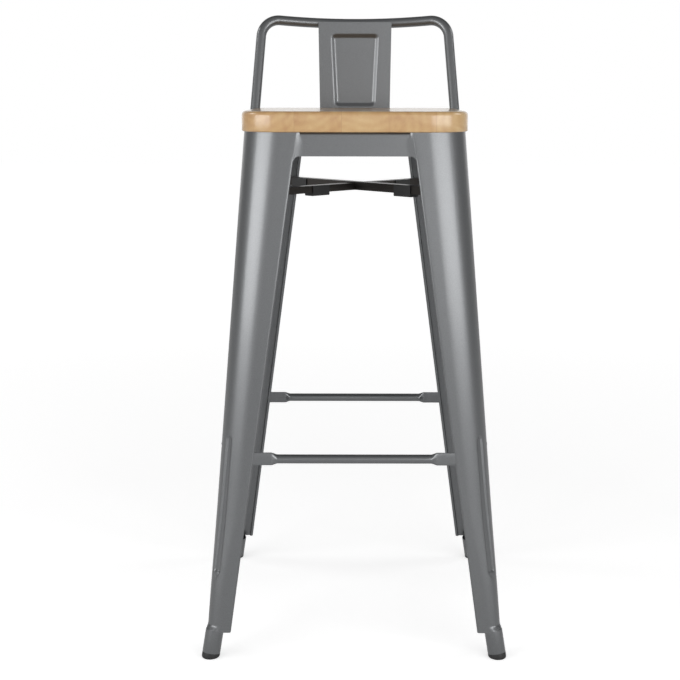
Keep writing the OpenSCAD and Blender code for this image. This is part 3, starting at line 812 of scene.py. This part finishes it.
def hoop_rings():
    """Rings of the hoop's right-hand half, from the middle of its rail to its foot."""
    up = Vector((0, 0, 1))
    side = (tube_way - rail_way.dot(tube_way) * rail_way).normalized()
    axis = rail_way.cross(side)
    out = rail_way.cross(up)
    centre = knee - bend_reach * rail_way + HOOP_BEND * side
    rings = []
    for i in range(16):
        q = RAIL_TURN * i / 16
        away = Vector((math.sin(q), math.cos(q), 0))
        middle = Vector((0, rail_back - rail_radius, rail_z)) + rail_radius * away
        rings.append(hoop_ring(middle, up, -away))
    for i in range(25):
        turn = Matrix.Rotation(bend_angle * i / 24, 3, axis)
        rings.append(hoop_ring(centre - HOOP_BEND * (turn @ side), turn @ up, turn @ out))
    end_up = Matrix.Rotation(bend_angle, 3, axis) @ up
    across = Vector((0, -1, 0))
    phase = math.atan2(end_up.dot(across), end_up.dot(tube_side))
    below_seat = FOOT_DROP / math.cos(HOOP_LEAN)
    flat_from = tube_length - below_seat + (SEAT_TOP - PAD_LOW) - PRESS_BLEND
    for along in spaced(12 * MM, flat_from - 6 * MM, 16 * MM):
        rings.append(hoop_ring(tube_start + along * tube_way, tube_side, across, phase))
    for i in range(13):
        share = (1 - math.cos(math.pi * i / 12)) / 2
        at = tube_start + (flat_from + PRESS_BLEND * i / 12) * tube_way
        rings.append(hoop_ring(at, tube_side, across, phase, share))
    for i in range(7):
        t = i / 6
        at = tube_start + (tube_length - TONGUE_ROUND * (1 - t)) * tube_way
        narrow = TONGUE_NARROW * (1 - math.sqrt(1 - t * t))
        rings.append(hoop_ring(at, tube_side, across, phase, 1.0, narrow))
    return rings


def mirrored(points):
    """Mirror image of a ring, for the hoop's left-hand half."""
    return [Vector((-p[0], p[1], p[2])) for p in points]


hoop_half = hoop_rings()
hoop_shell = Shell()
hoop_shell.add([mirrored(r) for r in reversed(hoop_half[1:])] + hoop_half)
piece_from("hoop_tube", hoop_shell, STEEL, ["backrest_hoop"], place=HOOP_FRAME, sharp=50)

# Weld beads down both edges and round the end of each pressed tube end
tongue_top = tube_length - (FOOT_DROP - TONGUE_WELD)
tongue_end = tube_length + 0.5 * MM
tongue_turn = tongue_end - 5 * MM
tongue_line = [
    tube_start + along * tube_way - (PRESS_THICK / 2 - 0.4 * MM) * tube_side
    + across * (PRESS_WIDTH / 2 - 0.5 * MM) * Vector((0, 1, 0))
    for along, across in (
        (tongue_top, -1), (tongue_turn, -1), (tongue_end, -0.5),
        (tongue_end, 0.5), (tongue_turn, 1), (tongue_top, 1))
]
for name, sign in (("left", -1), ("right", 1)):
    weld("weld_hoop_" + name, [tongue_line], tube_side, 1.6 * MM,
         HOOP_FRAME @ Matrix.Diagonal((sign, 1, 1, 1)))

# ------------------------------------------------------------------ splat

rail_front = (
    hoop_y + (SPLAT_HIGH - HOOP_RADIUS - SEAT_TOP) * math.tan(HOOP_LEAN)
    + (rail_back - (SPLAT_TOP / 2) ** 2 / (2 * rail_radius) - HOOP_RADIUS) / math.cos(HOOP_LEAN)
)
splat_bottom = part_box("backrest_splat")[0][2]


def splat_front(z):
    """Distance of the splat's front surface behind the middle plane at height z."""
    heel = splat_bottom + SPLAT_FOOT
    bend = PAD_LOW - 1 * MM
    at_bend = PAD_HALF + SPLAT_CLEAR
    top = rail_front - 0.1 * MM - SPLAT_SHEET
    if z <= heel:
        return half_width(z) - LEG_SHEET
    if z <= bend:
        return mix(half_width(heel) - LEG_SHEET, at_bend, smooth((z - heel) / (bend - heel)))
    return mix(at_bend, top, (z - bend) / (SPLAT_HIGH - bend))


def splat_half(z):
    """Half width of the splat at height z."""
    return mix(SPLAT_LOW, SPLAT_TOP, (z - splat_bottom) / (SPLAT_HIGH - splat_bottom)) / 2


panel_high = SPLAT_HIGH - PANEL_DROP
panel_end = SEAT_TOP + PANEL_END


def panel_half(z):
    """Half width of the pressed panel at height z."""
    t = (panel_high - z) / (panel_high - panel_end)
    return mix(PANEL_TOP, PANEL_LOW, min(1.0, max(0.0, t))) / 2


def panel_depth(x, z):
    """Depth of the pressed panel, from its distance inside its round-cornered outline."""
    aside = panel_half(z) - abs(x)
    within = min(panel_high - z, z - panel_end)
    if aside < PANEL_CORNER and within < PANEL_CORNER:
        inside = PANEL_CORNER - math.hypot(PANEL_CORNER - aside, PANEL_CORNER - within)
    else:
        inside = min(aside, within)
    return PANEL_DEPTH * soft_ramp(inside / PANEL_BORDER, 0.3)


def splat_columns(z):
    """Places across the splat at height z, close together over the panel's border."""
    border = panel_half(z)
    inner = [border - b * MM for b in (15, 12, 10, 9)]
    inner += [border - b * 0.8 * MM for b in range(10, -2, -1)]
    outer = [mix(inner[-1], splat_half(z), t) for t in (0.25, 0.5, 0.75, 0.93, 1)]
    right = [inner[0] * t for t in (0.2, 0.4, 0.6, 0.8)] + inner + outer
    return [-x for x in reversed(right)] + [0.0] + right


def splat_shell():
    """The splat's sheet with its pressed panel."""
    heights = spaced(splat_bottom, panel_end - 3 * MM, 4 * MM)
    heights += spaced(panel_end - 0.8 * MM, panel_end + 16 * MM, 0.8 * MM)
    heights += spaced(panel_end + 20 * MM, panel_high - 20 * MM, 6 * MM)
    heights += spaced(panel_high - 16 * MM, panel_high + 0.8 * MM, 0.8 * MM)
    heights += spaced(panel_high + 4 * MM, SPLAT_HIGH, 4 * MM)
    rings = []
    for z in heights:
        front = [(x, splat_front(z) + panel_depth(x, z), z) for x in splat_columns(z)]
        back = [(x, y + SPLAT_SHEET, z) for x, y, z in reversed(front)]
        rings.append(front + back)
    shell = Shell()
    shell.add(rings)
    return shell


piece_from("splat_sheet", splat_shell(), STEEL, ["backrest_splat"], sharp=50)

# Weld beads: two under the rail, and one along the splat's foot
rail_line_y = splat_front(SPLAT_HIGH) + SPLAT_SHEET
for name, sign in (("left", -1), ("right", 1)):
    line = [Vector((sign * x, rail_line_y, SPLAT_HIGH - 5 * MM)) for x in RAIL_WELD]
    weld("weld_rail_" + name, [line], Vector((0, 1, 0)), 1.3 * MM)
foot_line_y = splat_front(splat_bottom) + 0.3 * MM
line = [Vector((x, foot_line_y, splat_bottom)) for x in FOOT_WELD]
weld("weld_splat_foot", [line], Vector((0, 1, 0)), 1.4 * MM)

# ------------------------------------------------------------------ pad


def tube_centre(z):
    """Place of the hoop's right-hand tube at height z, as (x, y)."""
    along = (tube_start.z - (z - SEAT_TOP) / math.cos(HOOP_LEAN)) / math.cos(tube_lean)
    point = HOOP_FRAME @ (tube_start + along * tube_way)
    return point.x, point.y


def pad_outline(z, ease):
    """Half outline of the pad at height z, drawn in by ease, from the front's middle round
    the right side and its notch to the rear's middle."""
    half = PAD_HALF - ease
    corner = PAD_CORNER - ease
    arc = half - corner
    tube, middle = tube_centre(z)
    notch = PRESS_WIDTH / 2 + NOTCH_GAP + ease
    deep = HOOP_RADIUS + NOTCH_GAP + ease
    turn = NOTCH_ROUND

    def rim(y):
        over = abs(y) - arc
        return half if over <= 0 else arc + math.sqrt(max(0.0, corner ** 2 - over ** 2))

    points = [(mix(0, arc, i / 8), -half) for i in range(8)]
    for i in range(17):
        a = math.pi / 2 * i / 16
        points.append((arc + corner * math.sin(a), -arc - corner * math.cos(a)))
    low, high = middle - notch, middle + notch
    points += [(rim(y), y) for y in (mix(-arc, low, i / 12) for i in range(1, 13))]
    inner_x = tube - deep
    for i in range(7):
        a = math.pi / 2 * i / 6
        points.append((inner_x + turn - turn * math.sin(a), low + turn - turn * math.cos(a)))
    for i in range(7):
        a = math.pi / 2 * i / 6
        points.append((inner_x + turn - turn * math.cos(a), high - turn + turn * math.sin(a)))
    first = math.asin(min(1.0, (high - arc) / corner))
    for i in range(15):
        a = mix(first, math.pi / 2, i / 14)
        points.append((arc + corner * math.cos(a), arc + corner * math.sin(a)))
    points += [(mix(arc, 0, i / 8), half) for i in range(1, 9)]
    return points


def pad_ring(z, ease):
    """Closed section of the pad at height z."""
    right = pad_outline(z, ease)
    left = [(-x, y) for x, y in reversed(right[1:-1])]
    return [(x, y, z) for x, y in right + left]


def pad_shell():
    """The pad, with its lower and upper edges rounded."""
    rings = [pad_ring(PAD_LOW, PAD_LOW_ROUND + 2 * MM)]
    for i in range(4, -1, -1):
        a = math.pi / 2 * i / 4
        z = PAD_LOW + PAD_LOW_ROUND * (1 - math.sin(a))
        rings.append(pad_ring(z, PAD_LOW_ROUND * (1 - math.cos(a))))
    for i in range(9):
        a = math.pi / 2 * i / 8
        z = SEAT_TOP - PAD_TOP_ROUND * (1 - math.sin(a))
        rings.append(pad_ring(z, PAD_TOP_ROUND * (1 - math.cos(a))))
    rings.append(pad_ring(SEAT_TOP, PAD_TOP_ROUND + 3 * MM))
    shell = Shell()
    shell.add(rings)
    return shell


piece_from("timber_pad", pad_shell(), TIMBER, ["seat_pad"], sharp=50)

# ------------------------------------------------------------------ footrests


def rest_ring(x, flat):
    """Section of a footrest at x: a round tube that is pressed flat by the share flat."""
    ring = []
    for i in range(REST_SIDES):
        q = 2 * math.pi * i / REST_SIDES
        y = mix(REST_RADIUS * math.cos(q), TAB_THICK / 2 * power(math.cos(q), TAB_CROWN), flat)
        z = mix(REST_RADIUS * math.sin(q), TAB_HEIGHT / 2 * math.sin(q), flat)
        ring.append((x, y, z))
    return ring


def rest_shell():
    """A footrest between two legs' hems, with its ends cut to the hems' slope."""
    reach = edge_at(REST_HEIGHT)
    round_end = reach - TAB_LENGTH - TAB_BLEND - 8 * MM
    half = [rest_ring(x, 0.0) for x in spaced(20 * MM, round_end, 20 * MM)]
    for i in range(11):
        t = i / 10
        x = reach - TAB_LENGTH - TAB_BLEND * (1 - t)
        half.append(rest_ring(x, soft_ramp(t, 0.2)))
    for i in range(1, 5):
        share = i / 4
        ring = rest_ring(reach - TAB_LENGTH * (1 - share), 1.0)
        half.append([(x + (TAB_LAP - EDGE_SLOPE * z) * share, y, z) for x, y, z in ring])
    other = [[(-x, y, z) for x, y, z in ring] for ring in reversed(half)]
    shell = Shell()
    shell.add(other + half)
    return shell


rest_template = rest_shell()
rest_y = half_width(REST_HEIGHT) - (TAB_INSET + TAB_THICK / 2) / math.cos(FACE_TILT)
REST_FRAME = Matrix.Translation((0, rest_y, REST_HEIGHT)) @ Matrix.Rotation(FACE_TILT, 4, "X")
weld_x = edge_at(REST_HEIGHT) + 0.6 * MM
rest_welds = [
    [Vector((sign * (weld_x - EDGE_SLOPE * z), -0.2 * MM, z)) for z in REST_WELD]
    for sign in (-1, 1)
]
for side, turn in {"rear": 0, "left": 90, "front": 180, "right": 270}.items():
    place = Matrix.Rotation(math.radians(turn), 4, "Z") @ REST_FRAME
    piece_from("footrest_tube_" + side, rest_template, STEEL, ["footrest_" + side], place=place)
    weld("weld_footrest_" + side, rest_welds, Vector((0, 1, 0)), 1.5 * MM, place)

# ------------------------------------------------------------------ carried-over nodes

dress("seat_pan", STEEL, 0.3 * MM)
# The brace bars take the darker copy of the gunmetal paint, which is painted shade from the pan
# above
for node in ("brace_bar_lower", "brace_bar_upper"):
    dress(node, BRACE_STEEL_PAINTED_SHADE, 0.3 * MM)
for corner in CORNERS:
    dress("brace_pad_" + corner, PLASTIC, 0.3 * MM)
dress("pad_screws", SCREW_STEEL)

# ------------------------------------------------------------------ stage, lights and camera


def set_world():
    """White for the camera; as light, a studio that is darker to the sides and with height."""
    world = bpy.data.worlds.new("studio")
    bpy.context.scene.world = world
    world.use_nodes = True
    tree = world.node_tree
    place = add_node(tree, "ShaderNodeTexCoord")

    # brightness by direction: from the front to the back, times from level to straight up
    _, y, z = split_vector(tree, place.outputs["Generated"])
    grey = ramp(tree, calc(tree, "MULTIPLY_ADD", y, 0.5, 0.5), greys(
        (0.0, 0.95), (0.3, 0.85), (0.52, 0.3), (0.8, 0.26), (0.94, 1.05)))
    fall = ramp(tree, z, greys((0.0, 1.0), (0.2, 0.95), (0.5, 0.5), (0.8, 0.4), (1.0, 0.5)))
    studio = mixed(tree, 1, grey, fall, "MULTIPLY")
    path = add_node(tree, "ShaderNodeLightPath")
    colour = mixed(tree, path.outputs["Is Camera Ray"], studio, (1, 1, 1, 1))
    tree.links.new(colour, tree.nodes["Background"].inputs["Color"])


def floor_material():
    """Pale floor that looks near white to the camera and keeps the stool's shadow."""
    material = bpy.data.materials.new("pale_floor")
    material.use_nodes = True
    tree = material.node_tree
    tree.nodes.clear()
    links = tree.links
    output = add_node(tree, "ShaderNodeOutputMaterial")
    diffuse = add_node(tree, "ShaderNodeBsdfDiffuse")
    diffuse.inputs["Color"].default_value = (0.8, 0.8, 0.8, 1)

    # the floor glows more where less of the lamps' light falls on it
    place = add_node(tree, "ShaderNodeTexCoord")
    away = add_node(tree, "ShaderNodeVectorMath", operation="LENGTH")
    links.new(place.outputs["Object"], away.inputs[0])
    fade = add_node(tree, "ShaderNodeMapRange")
    ends = {"From Min": 0.8, "From Max": 3.0, "To Min": 0.56, "To Max": 0.76}
    for socket, value in ends.items():
        fade.inputs[socket].default_value = value
    links.new(away.outputs["Value"], fade.inputs["Value"])
    glow = add_node(tree, "ShaderNodeEmission")
    links.new(fade.outputs["Result"], glow.inputs["Strength"])
    bright = add_node(tree, "ShaderNodeAddShader")
    links.new(diffuse.outputs[0], bright.inputs[0])
    links.new(glow.outputs[0], bright.inputs[1])

    path = add_node(tree, "ShaderNodeLightPath").outputs
    shown = calc(
        tree, "MULTIPLY_ADD", path["Is Glossy Ray"], FLOOR_REFLECTED, path["Is Camera Ray"])
    choose = add_node(tree, "ShaderNodeMixShader")
    links.new(shown, choose.inputs[0])
    links.new(diffuse.outputs[0], choose.inputs[1])
    links.new(bright.outputs[0], choose.inputs[2])
    links.new(choose.outputs[0], output.inputs[0])
    return material


def add_floor():
    """The floor, which belongs to the stage and not to the stool."""
    r = FLOOR_REACH
    mesh = bpy.data.meshes.new("floor")
    mesh.from_pydata([(-r, -r, 0), (r, -r, 0), (r, r, 0), (-r, r, 0)], [], [(0, 1, 2, 3)])
    mesh.materials.append(floor_material())
    floor = bpy.data.objects.new("floor", mesh)
    bpy.context.scene.collection.objects.link(floor)


def add_lamp(name, azimuth, low, high, width, watts):
    """A soft upright panel at that azimuth from the stool: 0 in front, positive to the right."""
    light = bpy.data.lights.new(name, "AREA")
    light.shape = "RECTANGLE"
    light.size = width
    light.size_y = high - low
    light.energy = watts
    lamp = bpy.data.objects.new(name, light)
    angle = math.radians(azimuth)
    lamp.location = (
        LAMP_DISTANCE * math.sin(angle), -LAMP_DISTANCE * math.cos(angle), (low + high) / 2)
    lamp.rotation_euler = (math.radians(90), 0, angle)
    bpy.context.scene.collection.objects.link(lamp)


def add_camera():
    """The photograph's camera."""
    camera = bpy.data.objects.new("camera", bpy.data.cameras.new("camera"))
    camera.data.sensor_width = 36
    camera.data.lens = CAMERA_LENS
    camera.data.shift_x = CAMERA_SHIFT
    pitch = Matrix.Rotation(math.radians(90 + CAMERA_PITCH), 4, "X")
    roll = Matrix.Rotation(math.radians(CAMERA_ROLL), 4, "Z")
    camera.matrix_world = Matrix.Translation(CAMERA_PLACE) @ pitch @ roll
    bpy.context.scene.collection.objects.link(camera)
    bpy.context.scene.camera = camera


set_world()
add_floor()
for name, settings in LAMPS.items():
    add_lamp(name, *settings)
add_camera()
bpy.context.scene.view_settings.view_transform = "Standard"
